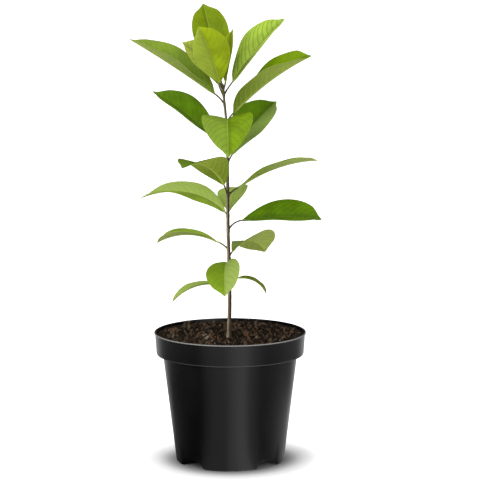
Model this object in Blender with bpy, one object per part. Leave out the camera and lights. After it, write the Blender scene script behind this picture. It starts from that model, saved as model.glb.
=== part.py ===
"""A young magnolia in a round nursery pot.

One slim stem carries twenty-two single leaves, each on its own stalk. The stem stands in
compost, in a moulded pot with a collar and four feet. Metres, +Z up, and +X and +Y level.
The origin is the middle of the pot's flat underside.
"""
from dataclasses import dataclass
from math import cos, exp, hypot, pi, radians, sin

import bmesh
import bpy
from mathutils import Matrix, Vector

# Pot
POT_HEIGHT = 0.147
RIM_RADIUS = 0.0855
COLLAR_TOP_RADIUS = 0.0845
COLLAR_FOOT_RADIUS = 0.0830
COLLAR_FOOT = 0.122          # height of the collar's lower edge
LIP_HEIGHT = 0.0022
LIP_ROUND = 0.00045          # bevel along the lip
BODY_TOP_RADIUS = 0.0758     # just under the collar
BODY_FOOT_RADIUS = 0.0610
FOOT_ROUND = 0.0030          # bevel where the wall meets the floor
WALL = 0.0016
POT_SIDES = 48

# Feet: four bays are raised in the floor and leave four feet between them
BAY_HEIGHT = 0.0085
BAY_HALF_ANGLE_LOW = 17.0    # at the floor
BAY_HALF_ANGLE_HIGH = 9.5    # at the bay's roof
BAY_INNER_RADIUS = 0.020
BAY_OUTER_RADIUS = 0.080
BAY_TURNS = (45.0, 135.0, 225.0, 315.0)
DRAIN_RADIUS = 0.0045
DRAIN_DISTANCE = 0.045
DRAIN_SIDES = 16
CUTTER_REACH = 0.0030        # how far a cutter runs on past what it cuts

# Compost
COMPOST_EDGE = 0.1445        # its height at the wall
COMPOST_MIDDLE = 0.1414      # its height round the stem
COMPOST_FLAT_RADIUS = 0.016
COMPOST_RINGS = 4

GAP = 0.0003                 # left between neighbouring pieces
MERGE = 2e-6                 # corners nearer than this are one
SHARP_ANGLE = 35.0           # an edge that turns by more is left unsmoothed

# Stem: the middle of it from the compost to the tip
STEM_PATH = (
    (-0.0010, -0.0100, 0.1417),
    (-0.0004, -0.0096, 0.2000),
    (-0.0021, -0.0080, 0.2666),
    (-0.0024, -0.0058, 0.3300),
    (-0.0030, -0.0040, 0.3630),
    (-0.0042, -0.0030, 0.3864),
    (-0.0066, -0.0010, 0.4120),
    (-0.0077, 0.0000, 0.4230),
)
STEM_RADIUS_LOW = 0.0024
STEM_RADIUS_HIGH = 0.0013
ROOT_FLARE = 0.0011          # added to the radius at the cut
ROOT_FLARE_REACH = 0.005
STEM_SIDES = 12
STEM_RINGS = 26
RING_CROWDING = 1.25         # above 1 the rings stand closer together near the foot
BUD = ((0.0010, 1.08), (0.0020, 0.75), (0.0030, 0.25))   # height and share of the stem's radius

# Leaves
STALK_RADIUS = 0.0009
STALK_END_RADIUS = 0.0005
STALK_FOOT_SWELL = 1.35      # its radius at the stem, as a share of the plain one
STALK_RINGS = 4
STALK_SIDES = 6
RIB_REACH = 0.34             # share of the blade that the stalk runs on under, as its rib
RIB_RINGS = 3
RIB_SINK = 0.5               # share of its radius that the rib starts below the blade
BLADE_ROWS = 10
BLADE_COLUMNS = 4
BLADE_END_HALF_WIDTH = 0.0015
THICKNESS_SHARE = 0.0115     # thickness of a blade, as a share of its length
LEAST_THICKNESS = 0.0009
FOLD_OPENING = 0.5           # how much flatter a half is at its margin than at the midrib
FLAT_ENDS = 0.08             # share of the blade, at each end, over which it folds up
FOLD_STEPS = 8               # across a half, when its curve is added up
STEPS = 40                   # along a stalk or midrib, when its curve is added up

COLOURS = {
    "young": (0.30, 0.40, 0.03),
    "fresh": (0.22, 0.36, 0.03),
    "deep": (0.10, 0.23, 0.02),
    "light": (0.32, 0.45, 0.08),
}


@dataclass
class Leaf:
    """Where a leaf leaves the stem and how it runs from there. Angles are in degrees."""
    name: str
    tint: str
    height: float            # of its node on the stem
    turn: float              # compass direction: 0 is +X, 90 is +Y
    stalk: float             # length of the stalk
    stalk_rise: float        # angle of the stalk above level at the stem
    rise: float              # angle of the midrib above level at the foot of the blade
    droop: float             # how far the midrib has turned down at the tip
    length: float
    width: float
    fold: float              # how far each half is folded up at the midrib
    roll: float = 0.0        # of the whole blade about its midrib
    twist: float = 0.0       # roll that the blade gains by its tip
    sweep: float = 0.0       # turn that the midrib gains by its tip
    bend: float = 1.0        # above 1 the midrib bends late, below 1 early
    fullness: float = 0.80   # lower is blunter at both ends
    widest: float = 1.22     # higher moves the widest part towards the tip


LEAVES = (
    Leaf("leaf_01_top_back", "young", .4210, 115, .011, 50, 63, 6, .095, .042, 20, roll=-20,
         fullness=.66, widest=1.4),
    Leaf("leaf_02_top_front", "young", .4185, 214, .009, 50, 71, 16, .069, .045, 26, roll=-106,
         bend=2, fullness=.72, widest=1.2),
    Leaf("leaf_03_top_left", "young", .4124, 170, .012, 56, 72, 46, .065, .030, 20, roll=-54),
    Leaf("leaf_04_top_folded", "young", .4187, 48, .008, 50, 81, 6, .061, .020, 40),
    Leaf("leaf_05_upper_right", "fresh", .4128, 16, .017, 60, 50.5, 2, .092, .062, 30, twist=14,
         fullness=.66, widest=1.25),
    Leaf("leaf_06_upper_left", "fresh", .4025, 165, .016, 58, 34, 6, .116, .047, 50, roll=-10,
         fullness=.76, widest=.98),
    Leaf("leaf_07_middle_left", "deep", .3500, 160, .015, 45, 43, 16, .096, .052, 28, roll=-14),
    Leaf("leaf_08_arching_right", "fresh", .3820, 337, .014, 62, 45.5, 21, .114, .0535, 48,
         roll=3, twist=24, fullness=.68, widest=1.1),
    Leaf("leaf_09_middle_right", "deep", .3380, 30, .010, 60, 55, 20, .082, .054, 28, roll=23),
    Leaf("leaf_10_front", "light", .3800, 272, .014, 20, 22, 93, .089, .058, 22, roll=3,
         widest=.95),
    Leaf("leaf_11_rolled_left", "light", .3020, 226, .013, 70, 57, 76, .082, .052, 18, roll=28,
         twist=-34, sweep=10, widest=1.1),
    Leaf("leaf_12_slim_right", "light", .3020, 8, .014, 42, 33, 34, .098, .040, 20, roll=-6,
         bend=1.2),
    Leaf("leaf_13_long_left", "light", .2795, 183, .004, 50, 50, 74, .103, .042, 15, roll=-50,
         twist=62, bend=.85, fullness=.66, widest=1.25),
    Leaf("leaf_14_back", "light", .2790, 80, .006, 40, 36, 30, .062, .037, 24, roll=-10),
    Leaf("leaf_15_broad_right", "deep", .2625, 350, .020, 66, 10, 16, .0905, .050, 30, roll=24,
         fullness=.68),
    Leaf("leaf_16_lower_left", "light", .2415, 165, .012, 42, 28, 61, .079, .033, 26, roll=5,
         twist=-10, fullness=.66, widest=1.9),
    Leaf("leaf_17_lower_right", "light", .2310, 48, .008, 66, 44, 99, .064, .052, 16, roll=-6,
         twist=-30, fullness=.74, widest=1.5),
    Leaf("leaf_18_lower_front", "light", .2250, 262, .012, 20, 14, 88, .066, .041, 26, roll=15,
         sweep=12, widest=1.4),
    Leaf("leaf_19_lowest_left", "light", .2000, 195, .012, 18, 12, 62, .061, .022, 20),
    Leaf("leaf_20_lowest_right", "light", .2065, 12, .010, 26, 8, 78, .041, .018, 20),
    Leaf("leaf_21_upper_hidden", "fresh", .3600, 92, .012, 30, 24, 66, .076, .040, 20),
    Leaf("leaf_22_lower_hidden", "light", .2120, 98, .010, 20, 10, 60, .056, .028, 20),
)


def clear_scene():
    for item in list(bpy.data.objects):
        bpy.data.objects.remove(item, do_unlink=True)


def material(name, colour, roughness, metallic=0.0):
    """One material for each finish, made once."""
    made = bpy.data.materials.get(name) or bpy.data.materials.new(name)
    made.use_nodes = True
    shader = made.node_tree.nodes["Principled BSDF"]
    shader.inputs["Base Color"].default_value = (*colour, 1.0)
    shader.inputs["Roughness"].default_value = roughness
    shader.inputs["Metallic"].default_value = metallic
    return made


def object_from(name, bm, finish=None, guide=False):
    """Turn a bmesh into a smooth-shaded object; a guide is a cutter that is left out."""
    mesh = bpy.data.meshes.new(name)
    bm.to_mesh(mesh)
    bm.free()
    made = bpy.data.objects.new(name, mesh)
    bpy.context.scene.collection.objects.link(made)
    if finish:
        mesh.materials.append(finish)
        mesh.shade_smooth()
        mesh.set_sharp_from_angle(angle=radians(SHARP_ANGLE))
    if guide:
        made.hide_render = True
        made.display_type = "WIRE"
    return made


def boolean(target, other, operation):
    """Join or cut with one exact Boolean and apply it."""
    change = target.modifiers.new(operation.lower(), "BOOLEAN")
    change.operation = operation
    change.solver = "EXACT"
    change.object = other
    depsgraph = bpy.context.evaluated_depsgraph_get()
    result = bpy.data.meshes.new_from_object(target.evaluated_get(depsgraph))
    bm = bmesh.new()
    bm.from_mesh(result)
    bmesh.ops.remove_doubles(bm, verts=bm.verts, dist=MERGE)
    bmesh.ops.dissolve_degenerate(bm, edges=bm.edges, dist=MERGE)
    bm.to_mesh(result)
    bm.free()
    target.modifiers.clear()
    target.data = result


def remove(*items):
    for item in items:
        bpy.data.objects.remove(item, do_unlink=True)


def turned(name, profile, finish=None, sides=POT_SIDES):
    """Spin a profile, given from the axis at the foot to the axis at the top, into a solid."""
    bm = bmesh.new()
    corners = [bm.verts.new((radius, 0.0, height)) for radius, height in profile]
    edges = [bm.edges.new(pair) for pair in zip(corners, corners[1:])]
    bmesh.ops.spin(bm, geom=corners + edges, axis=(0, 0, 1), cent=(0, 0, 0),
                   angle=2 * pi, steps=sides, use_merge=True)
    bmesh.ops.remove_doubles(bm, verts=bm.verts, dist=MERGE)
    bmesh.ops.recalc_face_normals(bm, faces=bm.faces)
    return object_from(name, bm, finish, guide=finish is None)


def bay(turn, grow):
    """A wedge that raises the floor between two feet, grown on all sides by grow."""
    widening = (BAY_HALF_ANGLE_LOW - BAY_HALF_ANGLE_HIGH) / BAY_HEIGHT
    sideways = grow * hypot(1.0, radians(widening) * BODY_FOOT_RADIUS)
    bm = bmesh.new()
    bmesh.ops.create_cube(bm, size=2.0)
    bmesh.ops.triangulate(bm, faces=bm.faces, quad_method="FIXED")
    for corner in bm.verts:
        outer, side, high = corner.co.x > 0, corner.co.y, corner.co.z > 0
        radius = BAY_OUTER_RADIUS if outer else BAY_INNER_RADIUS - grow
        level = BAY_HEIGHT + grow if high else -CUTTER_REACH
        half = radians(BAY_HALF_ANGLE_HIGH + widening * (BAY_HEIGHT - level))
        corner.co = (radius * cos(half), side * (radius * sin(half) + sideways), level)
    bmesh.ops.rotate(bm, verts=bm.verts, cent=(0, 0, 0),
                     matrix=Matrix.Rotation(radians(turn), 3, "Z"))
    return object_from("bay", bm, guide=True)


def drain(turn):
    """The round hole in the roof of a bay."""
    bm = bmesh.new()
    place = Matrix.Rotation(radians(turn), 4, "Z") @ Matrix.Translation(
        (DRAIN_DISTANCE, 0, BAY_HEIGHT + WALL / 2))
    bmesh.ops.create_cone(bm, cap_ends=True, segments=DRAIN_SIDES, radius1=DRAIN_RADIUS,
                          radius2=DRAIN_RADIUS, depth=2 * CUTTER_REACH, matrix=place)
    return object_from("drain", bm, guide=True)


def cut_bays(target, grow):
    for turn in BAY_TURNS:
        wedge = bay(turn, grow)
        boolean(target, wedge, "DIFFERENCE")
        remove(wedge)


def collar_radius(height):
    """The outside of the collar at a height."""
    share = (height - COLLAR_FOOT) / (POT_HEIGHT - COLLAR_FOOT)
    return COLLAR_FOOT_RADIUS + share * (COLLAR_TOP_RADIUS - COLLAR_FOOT_RADIUS)


def inside_profile(clear, top):
    """The inside of the pot, drawn in by clear, up to the height top."""
    inset = WALL + clear
    return (
        (0, inset),
        (BODY_FOOT_RADIUS - inset - FOOT_ROUND, inset),
        (BODY_FOOT_RADIUS - inset, inset + FOOT_ROUND),
        (BODY_TOP_RADIUS - inset, COLLAR_FOOT + inset),
        (COLLAR_FOOT_RADIUS - inset, COLLAR_FOOT + inset),
        (collar_radius(top) - inset, top),
    )


def make_pot():
    black = material("pot_plastic", (0.012, 0.012, 0.013), 0.35)
    pot = turned("pot", (
        (0, 0),
        (BODY_FOOT_RADIUS - FOOT_ROUND, 0),
        (BODY_FOOT_RADIUS, FOOT_ROUND),
        (BODY_TOP_RADIUS, COLLAR_FOOT),
        (COLLAR_FOOT_RADIUS, COLLAR_FOOT),
        (COLLAR_TOP_RADIUS, POT_HEIGHT - LIP_HEIGHT),
        (RIM_RADIUS, POT_HEIGHT - LIP_HEIGHT + LIP_ROUND),
        (RIM_RADIUS, POT_HEIGHT - LIP_ROUND),
        (RIM_RADIUS - LIP_ROUND, POT_HEIGHT),
        (0, POT_HEIGHT),
    ), black)
    above = POT_HEIGHT + CUTTER_REACH
    hollow = turned("hollow", inside_profile(0, above) + ((0, above),))
    cut_bays(hollow, WALL)
    cut_bays(pot, 0)
    boolean(pot, hollow, "DIFFERENCE")
    remove(hollow)
    for turn in BAY_TURNS:
        hole = drain(turn)
        boolean(pot, hole, "DIFFERENCE")
        remove(hole)
    return pot


def make_compost():
    """The pot's filling, which dishes down from the wall to a flat round the stem."""
    brown = material("compost", (0.030, 0.016, 0.009), 0.95)
    edge_radius = collar_radius(COMPOST_EDGE) - WALL - GAP
    slope = []
    for step in range(1, COMPOST_RINGS + 1):
        share = 1 - step / COMPOST_RINGS
        radius = COMPOST_FLAT_RADIUS + share * (edge_radius - COMPOST_FLAT_RADIUS)
        slope.append((radius, COMPOST_MIDDLE + share ** 2 * (COMPOST_EDGE - COMPOST_MIDDLE)))
    compost = turned("compost", (*inside_profile(GAP, COMPOST_EDGE), *slope,
                                 (0, COMPOST_MIDDLE)), brown)
    cut_bays(compost, WALL + GAP)
    return compost


def on_curve(points, share):
    """A smooth curve through the points, read at a share of its length in knots."""
    spans = len(points) - 1
    place = share * spans
    index = min(int(place), spans - 1)
    t = place - index
    before, start, end, after = (Vector(points[min(max(index + k, 0), spans)])
                                 for k in (-1, 0, 1, 2))
    return 0.5 * (2 * start + (end - before) * t
                  + (2 * before - 5 * start + 4 * end - after) * t ** 2
                  + (3 * start - before - 3 * end + after) * t ** 3)


def stem_at(height):
    """The middle of the stem at a height."""
    low, high = 0.0, 1.0
    for _ in range(STEPS):
        share = (low + high) / 2
        if on_curve(STEM_PATH, share).z < height:
            low = share
        else:
            high = share
    return on_curve(STEM_PATH, low)


def stem_radius(height):
    foot, top = STEM_PATH[0][2], STEM_PATH[-1][2]
    share = (height - foot) / (top - foot)
    flare = ROOT_FLARE * exp(-max(height - foot, 0) / ROOT_FLARE_REACH)
    return STEM_RADIUS_LOW + share * (STEM_RADIUS_HIGH - STEM_RADIUS_LOW) + flare


def tube(name, points, radii, sides, finish=None):
    """A round, tapering rod through the points, with its ends closed."""
    curve = bpy.data.curves.new(name, "CURVE")
    curve.dimensions = "3D"
    curve.bevel_depth = 1.0
    curve.bevel_resolution = sides // 2 - 2
    curve.use_fill_caps = True
    spline = curve.splines.new("POLY")
    spline.points.add(len(points) - 1)
    for knot, point, radius in zip(spline.points, points, radii):
        knot.co = (*point, 1.0)
        knot.radius = radius
    guide = bpy.data.objects.new(name + "_line", curve)
    bpy.context.scene.collection.objects.link(guide)
    bm = bmesh.new()
    bm.from_mesh(guide.to_mesh())
    remove(guide)
    bmesh.ops.remove_doubles(bm, verts=bm.verts, dist=MERGE)
    bmesh.ops.recalc_face_normals(bm, faces=bm.faces)
    return object_from(name, bm, finish, guide=finish is None)


def make_trunk(name, grow=0.0, finish=None):
    """The stem from its flat cut at the compost to its bud; grow makes the cutter."""
    foot, top = STEM_PATH[0][2], STEM_PATH[-1][2]
    below = Vector(STEM_PATH[0]) - Vector((0, 0, ROOT_FLARE_REACH))
    points, radii = [below], [stem_radius(foot) + grow]
    for ring in range(STEM_RINGS + 1):
        share = (ring / STEM_RINGS) ** RING_CROWDING
        point = stem_at(foot + share * (top - foot))
        points.append(point)
        radii.append(stem_radius(point.z) + grow)
    up = (points[-1] - points[-2]).normalized()
    end = points[-1]
    for rise, narrow in BUD:
        points.append(end + up * rise)
        radii.append(STEM_RADIUS_HIGH * narrow + grow)
    stem = tube(name, points, radii, STEM_SIDES, finish)
    if finish:
        bm = bmesh.new()
        bm.from_mesh(stem.data)
        cut = bmesh.ops.bisect_plane(bm, geom=bm.verts[:] + bm.edges[:] + bm.faces[:],
                                     plane_co=(0, 0, foot), plane_no=(0, 0, 1), dist=MERGE,
                                     clear_inner=True)
        rim = [item for item in cut["geom_cut"] if isinstance(item, bmesh.types.BMEdge)]
        bmesh.ops.contextual_create(bm, geom=rim)
        bmesh.ops.recalc_face_normals(bm, faces=bm.faces)
        bm.to_mesh(stem.data)
        bm.free()
    return stem


def direction(turn, rise):
    turn, rise = radians(turn), radians(rise)
    return Vector((cos(rise) * cos(turn), cos(rise) * sin(turn), sin(rise)))


def run(start, length, turn_at, rise_at):
    """Add up a curve whose turn and rise are functions of the share of its length."""
    points = [start.copy()]
    for step in range(STEPS):
        share = (step + 0.5) / STEPS
        points.append(points[-1] + direction(turn_at(share), rise_at(share)) * length / STEPS)
    return points


def stalk_points(leaf):
    return run(stem_at(leaf.height), leaf.stalk, lambda share: leaf.turn,
               lambda share: leaf.stalk_rise + share * (leaf.rise - leaf.stalk_rise))


def midrib_rise(leaf, share):
    return leaf.rise - leaf.droop * share ** leaf.bend


def midrib_points(leaf):
    return run(stalk_points(leaf)[-1], leaf.length, lambda share: leaf.turn + leaf.sweep * share,
               lambda share: midrib_rise(leaf, share))


def at_share(points, share):
    place = share * (len(points) - 1)
    index = min(int(place), len(points) - 2)
    return points[index].lerp(points[index + 1], place - index)


def blade_axes(leaf, share):
    """Across the blade and up from its face, at a share of the midrib."""
    turn = radians(leaf.turn + leaf.sweep * share)
    along = direction(leaf.turn + leaf.sweep * share, midrib_rise(leaf, share))
    level = Vector((-sin(turn), cos(turn), 0.0))
    upright = along.cross(level)
    roll = radians(leaf.roll + leaf.twist * share)
    across = level * cos(roll) + upright * sin(roll)
    up = upright * cos(roll) - level * sin(roll)
    return across, up


def half_width(leaf, share):
    outline = sin(pi * share ** leaf.widest)
    return max(leaf.width / 2 * max(outline, 0.0) ** leaf.fullness, BLADE_END_HALF_WIDTH)


def folded(leaf, share, out):
    """How far across and up a point of a half lies, as shares of the half's width."""
    fold = leaf.fold * min(1.0, share / FLAT_ENDS, (1 - share) / FLAT_ENDS)
    across = up = 0.0
    for step in range(FOLD_STEPS):
        part = (step + 0.5) / FOLD_STEPS * out
        angle = radians(fold * (1 - FOLD_OPENING * part))
        across += cos(angle) * out / FOLD_STEPS
        up += sin(angle) * out / FOLD_STEPS
    return across, up


def make_leaf(leaf, trunk_cutter):
    """A folded blade with its stalk running in under it, cut clear of the stem."""
    green = material("leaf_" + leaf.tint, COLOURS[leaf.tint], 0.45)
    midrib = midrib_points(leaf)
    bm = bmesh.new()
    bmesh.ops.create_grid(bm, x_segments=BLADE_ROWS, y_segments=BLADE_COLUMNS, size=1.0)
    for point in bm.verts:
        share, side = (point.co.x + 1) / 2, point.co.y
        across, up = folded(leaf, share, abs(side))
        axis_across, axis_up = blade_axes(leaf, share)
        wide = half_width(leaf, share)
        shift = axis_across * across * (1 if side > 0 else -1) + axis_up * up
        point.co = at_share(midrib, share) + shift * wide
    bmesh.ops.recalc_face_normals(bm, faces=bm.faces)
    blade = object_from(leaf.name, bm, green)
    thicken = blade.modifiers.new("thickness", "SOLIDIFY")
    thicken.thickness = max(THICKNESS_SHARE * leaf.length, LEAST_THICKNESS)
    thicken.offset = 0.0

    stalk = stalk_points(leaf)
    points, radii = [], []
    for ring in range(STALK_RINGS + 1):
        share = ring / STALK_RINGS
        points.append(at_share(stalk, share))
        radii.append(STALK_RADIUS * (STALK_FOOT_SWELL + share * (1 - STALK_FOOT_SWELL)))
    for ring in range(1, RIB_RINGS + 1):
        part = ring / RIB_RINGS
        share = RIB_REACH * part
        up = blade_axes(leaf, share)[1]
        radius = STALK_RADIUS + part * (STALK_END_RADIUS - STALK_RADIUS)
        points.append(at_share(midrib, share) - up * radius * (1 - part) * RIB_SINK)
        radii.append(radius)
    rod = tube("stalk", points, radii, STALK_SIDES)
    boolean(blade, rod, "UNION")
    boolean(blade, trunk_cutter, "DIFFERENCE")
    remove(rod)
    return blade


def main():
    clear_scene()
    make_pot()
    make_compost()
    bark = material("bark", (0.10, 0.055, 0.03), 0.7)
    make_trunk("trunk", finish=bark)
    cutter = make_trunk("trunk_cutter", grow=GAP)
    for leaf in LEAVES:
        make_leaf(leaf, cutter)
    remove(cutter)


main()
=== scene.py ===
"""The looks of a young magnolia in a round nursery pot.

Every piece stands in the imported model's frame: metres, +Z up, with the origin in the middle of
the pot's flat underside. Angles are in degrees, and 0 is +X and 90 is +Y.
"""
from dataclasses import dataclass
from math import atan2, cos, degrees, exp, hypot, pi, radians, sin
from random import Random

import bmesh
import bpy
from mathutils import Euler, Matrix, Vector, noise


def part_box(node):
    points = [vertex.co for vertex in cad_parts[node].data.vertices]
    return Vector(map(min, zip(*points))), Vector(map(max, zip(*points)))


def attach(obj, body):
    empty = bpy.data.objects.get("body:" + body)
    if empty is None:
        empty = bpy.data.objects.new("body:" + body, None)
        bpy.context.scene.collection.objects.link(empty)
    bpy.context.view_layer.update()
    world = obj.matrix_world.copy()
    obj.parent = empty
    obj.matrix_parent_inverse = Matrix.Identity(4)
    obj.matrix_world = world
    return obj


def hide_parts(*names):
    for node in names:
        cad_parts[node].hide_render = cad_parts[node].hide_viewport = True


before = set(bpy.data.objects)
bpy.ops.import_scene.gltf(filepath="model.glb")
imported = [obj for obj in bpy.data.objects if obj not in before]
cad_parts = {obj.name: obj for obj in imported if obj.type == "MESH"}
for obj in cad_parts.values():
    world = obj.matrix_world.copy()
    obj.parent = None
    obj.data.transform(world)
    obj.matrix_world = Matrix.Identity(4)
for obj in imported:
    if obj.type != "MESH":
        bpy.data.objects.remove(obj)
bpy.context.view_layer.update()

POT_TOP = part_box("pot")[1]
COMPOST_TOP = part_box("compost")[1]

# Camera: as far, as high and as long in the lens as the photograph asks
CAMERA_AIM = (0.0224, 0.0, 0.2395)
CAMERA_DISTANCE = 2.24
CAMERA_TILT = 8.25
CAMERA_LENS = 144.0
CAMERA_SENSOR = 36.0

# Light: each softbox has a name, a place, the length of its sides and its power in watts.
# The room is dimmer for what it lights than for the camera, and almost dark in reflections.
LIGHT_AIM = (0.0, 0.0, 0.25)
SOFTBOXES = (
    ("key", (-1.2, -1.5, 1.5), 1.4, 25.0),
    ("fill", (1.2, -1.7, 1.2), 1.4, 18.0),
    ("top", (-0.3, 0.3, 2.2), 1.6, 12.0),
)
ROOM_LIGHT = 0.50
ROOM_SEEN = (("Is Glossy Ray", 0.08), ("Is Camera Ray", 1.05))

# Floor
FLOOR_RADIUS = 40.0
FLOOR_SIDES = 96
FLOOR_SHADE = (0.058, 0.084)     # distances from the pot's axis: darkest painted contact shadow, plain floor
FLOOR_GLOW = (0.070, 0.130)      # no glow of its own, soft glow; this glow is painted light over the softboxes' shadows near the pot
FLOOR_WHITE = (0.15, 1.2)        # soft glow, full white

# Painted reflections: what the pot mirrors of the floor, which glows in these bands only for
# gloss.
# Each band has the turn of its middle from the front to +X, the cosines of the angles from there
# where it starts and where it is full, and its brightness.
MIRROR_DARK = 0.02
MIRROR_BANDS = (
    (2, 0.60, 0.94, 0.36),
    (13, 0.94, 0.998, 0.34),
    (19, 0.982, 0.998, 0.22),
    (60, 0.30, 0.95, 0.12),
    (180, 0.45, 0.95, 0.50),
)
MIRROR_BACK = (-0.70, 0.55)      # the same cosines of the broad light at the sides and back
MIRROR_BODY = (0.16, 0.45)       # distances over which the light that the body mirrors fades
MIRROR_COLLAR = (0.30, 0.50)     # distances over which the light that the collar mirrors grows

# Meshes
MERGE = 2e-6                 # corners nearer than this are one
AXIS_GAP = 1e-4              # corners nearer to the stem's middle than this have no direction
SHARP_ANGLE = 42.0           # past which an edge stays sharp
ROUND_SHARE = 0.45           # of a side of a profile that a rounding takes up at most

# Pot
RIM_RADIUS = POT_TOP.x
POT_HEIGHT = POT_TOP.z
COLLAR_TOP_RADIUS = RIM_RADIUS - 0.0010
COLLAR_FOOT_RADIUS = RIM_RADIUS - 0.0025
COLLAR_FOOT = POT_HEIGHT - 0.025
LIP_HEIGHT = 0.0022
BODY_TOP_RADIUS = 0.0758
BODY_FOOT_RADIUS = 0.0610
FOOT_ROUND = 0.0030
WALL = 0.0016
POT_SIDES = 240
WALL_STEPS = 30              # rings up the wall, which the bays bend
ARC_STEPS = 4                # faces round each rounded corner of a profile
BAY_HEIGHT = 0.0085          # how far the floor rises between two feet
BAY_HALF_ANGLE_LOW = 17.0
BAY_HALF_ANGLE_HIGH = 9.5
BAY_INNER_RADIUS = 0.0180
BAY_EDGE = 0.0030            # over which the floor rises at the inner end of a bay
BAY_REACH = 0.032            # the wall is moved up to this height
BAY_TURNS = (45.0, 135.0, 225.0, 315.0)
DRAIN_RADIUS = 0.0045
DRAIN_DISTANCE = 0.045
DRAIN_SIDES = 40
DRILL_DEPTH = 4 * WALL
FLOOR_RINGS = (0.014, 0.0165, 0.0175, 0.0185, 0.0195, 0.022, 0.040)   # closest where it steps
LIP_HIGHLIGHT_WIDTH = (0.0012, 0.0006)    # in from the rim's outside: where the painted highlight on its lip starts and is full
LIP_HIGHLIGHT_DEPTH = (0.0014, 0.0006)    # down from the rim's top
CREASE_DROP = 0.0004             # of the dull crease below the collar's foot
COLLAR_HIGHLIGHT_RISE = 0.0008             # of the painted highlight along the collar's lower edge, above its foot

# Compost
COMPOST_EDGE = COMPOST_TOP.z
COMPOST_MIDDLE = 0.1414
COMPOST_FLAT_RADIUS = 0.016
COMPOST_RINGS = 44
COMPOST_SIDES = 144
COMPOST_LUMP = 0.00085
COMPOST_GRAIN = 110.0        # lumps for each metre, at their coarsest
COMPOST_SINK = 0.0006        # the lumps stay this far below the highest they may be
COMPOST_INSET = 0.0019       # from the pot's outside to the filling
CRUMBS = 2400
CRUMB_GROUP = 100
CRUMB_SIZE = (0.0010, 0.0038)
CRUMB_LENGTHS = (1.0, 1.2, 1.7, 2.8)     # in shares of its width
CRUMB_LIFT = (-0.1, 0.5)     # of its middle above the filling, in shares of its size
CRUMB_SINK = 0.9             # how much lower it lies at the rim
CRUMB_SINK_BAND = (0.78, 0.93)   # shares of the rim's radius between which it sinks
CRUMB_GRAIN = 620.0
CRUMB_INSET = 0.0026         # from the rim's outside to the outermost crumb

# Each kind of crumb: its name, its dark and its light colour, and how common it is
CRUMB_KINDS = (
    ("crumb_dark", (0.007, 0.0044, 0.0028), (0.030, 0.0185, 0.0115), 0.56),
    ("crumb_brown", (0.036, 0.0235, 0.0150), (0.115, 0.0750, 0.0470), 0.32),
    ("crumb_red", (0.050, 0.0265, 0.0145), (0.130, 0.0690, 0.0380), 0.10),
    ("crumb_pale", (0.110, 0.088, 0.064), (0.230, 0.195, 0.150), 0.02),
)

# Stem
STEM_PATH = (
    (-0.0010, -0.0100, 0.1417),
    (-0.0004, -0.0096, 0.2000),
    (-0.0021, -0.0080, 0.2666),
    (-0.0024, -0.0058, 0.3300),
    (-0.0030, -0.0040, 0.3630),
    (-0.0042, -0.0030, 0.3864),
    (-0.0066, -0.0010, 0.4120),
    (-0.0077, 0.0000, 0.4230),
)
STEM_RADIUS_LOW = 0.0024
STEM_RADIUS_HIGH = 0.0013
ROOT_FLARE = 0.0011
ROOT_FLARE_REACH = 0.005
STEM_SIDES = 32
STEM_RINGS = 520
BUD = ((0.0010, 1.08), (0.0020, 0.75), (0.0030, 0.25))   # height and share of the stem's radius
NODE_SWELL = 0.00030         # how far the stem stands out where a stalk leaves it
NODE_REACH = 0.0018
NODE_RANGE = 0.01            # past which nothing of a node is left
SCAR_DEPTH = 0.00012         # of the ring that a fallen leaf sheath leaves
SCAR_REACH = 0.00035
SCAR_RISE = 0.0024           # of the ring above the node
SCAR_TILT = 0.0006
BARK_RELIEF = 0.00012
BARK_RIDGES = (900.0, 900.0, 110.0)     # how fine they are along each axis
BARK_LUMPS = (260.0, 260.0, 190.0)
CUT_BAND = 0.0002            # above the flat cut, where the bark stays plain

# Leaves
STALK_RADIUS = 0.0009
STALK_FOOT_SWELL = 1.35
STALK_SIDES = 12
STALK_RINGS = 12
RIB_REACH = 0.97             # share of the blade that the rib runs under
RIB_RINGS = 40
RIB_TIP_RADIUS = 0.00018
RIB_SINK = 0.55              # share of the rib's radius that its middle lies under the blade
BLADE_ROWS = 110
BLADE_COLUMNS = 36
BLADE_END_HALF_WIDTH = 0.0002
BLADE_THICKNESS = 0.00042
UNDER_FINISH = 1             # places of two finishes in the list of a leaf's three
STALK_FINISH = 2
TIP_START = 0.86             # share of the blade past which it is drawn out to its point
TIP_DRAW = 0.50              # how much narrower that makes it
FOLD_OPENING = 0.5           # share of the fold that is gone at the margin
FLAT_ENDS = 0.08             # share of the blade over which its fold runs out at each end
FOLD_STEPS = 8               # in which the arch of a half is added up
FINE_STEPS = 120             # in which a stalk or a midrib is added up
VEIN_SPACING = 0.0078
VEIN_LEAN = 0.62             # how far a side vein runs forward for each step outwards
VEIN_HOOK = 0.55             # how much further it runs near the margin
VEIN_STRAY = 0.25            # how far it strays from its even place, in shares of the spacing
RIB_SCALE = 30.0             # of the vein map's second number, for each metre from the midrib
QUILT = 0.00028              # how far the blade swells between two side veins
GROOVE = 0.00045             # depth of the groove over the midrib
GROOVE_WIDTH = 0.0011
RIPPLE = 0.0006              # of the margin, on a blade of the usual length
USUAL_LENGTH = 0.095
RIPPLE_WAVES = (1.6, 2.6)    # how many it has along one side
RIPPLE_DRIFT = 0.8           # how uneven they are
RIPPLE_LAG = 0.23            # how far the left side's waves lag behind, in waves
RELIEF_FOOT = 0.12           # share of the blade over which its relief begins
RELIEF_TIP = 0.10


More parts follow.
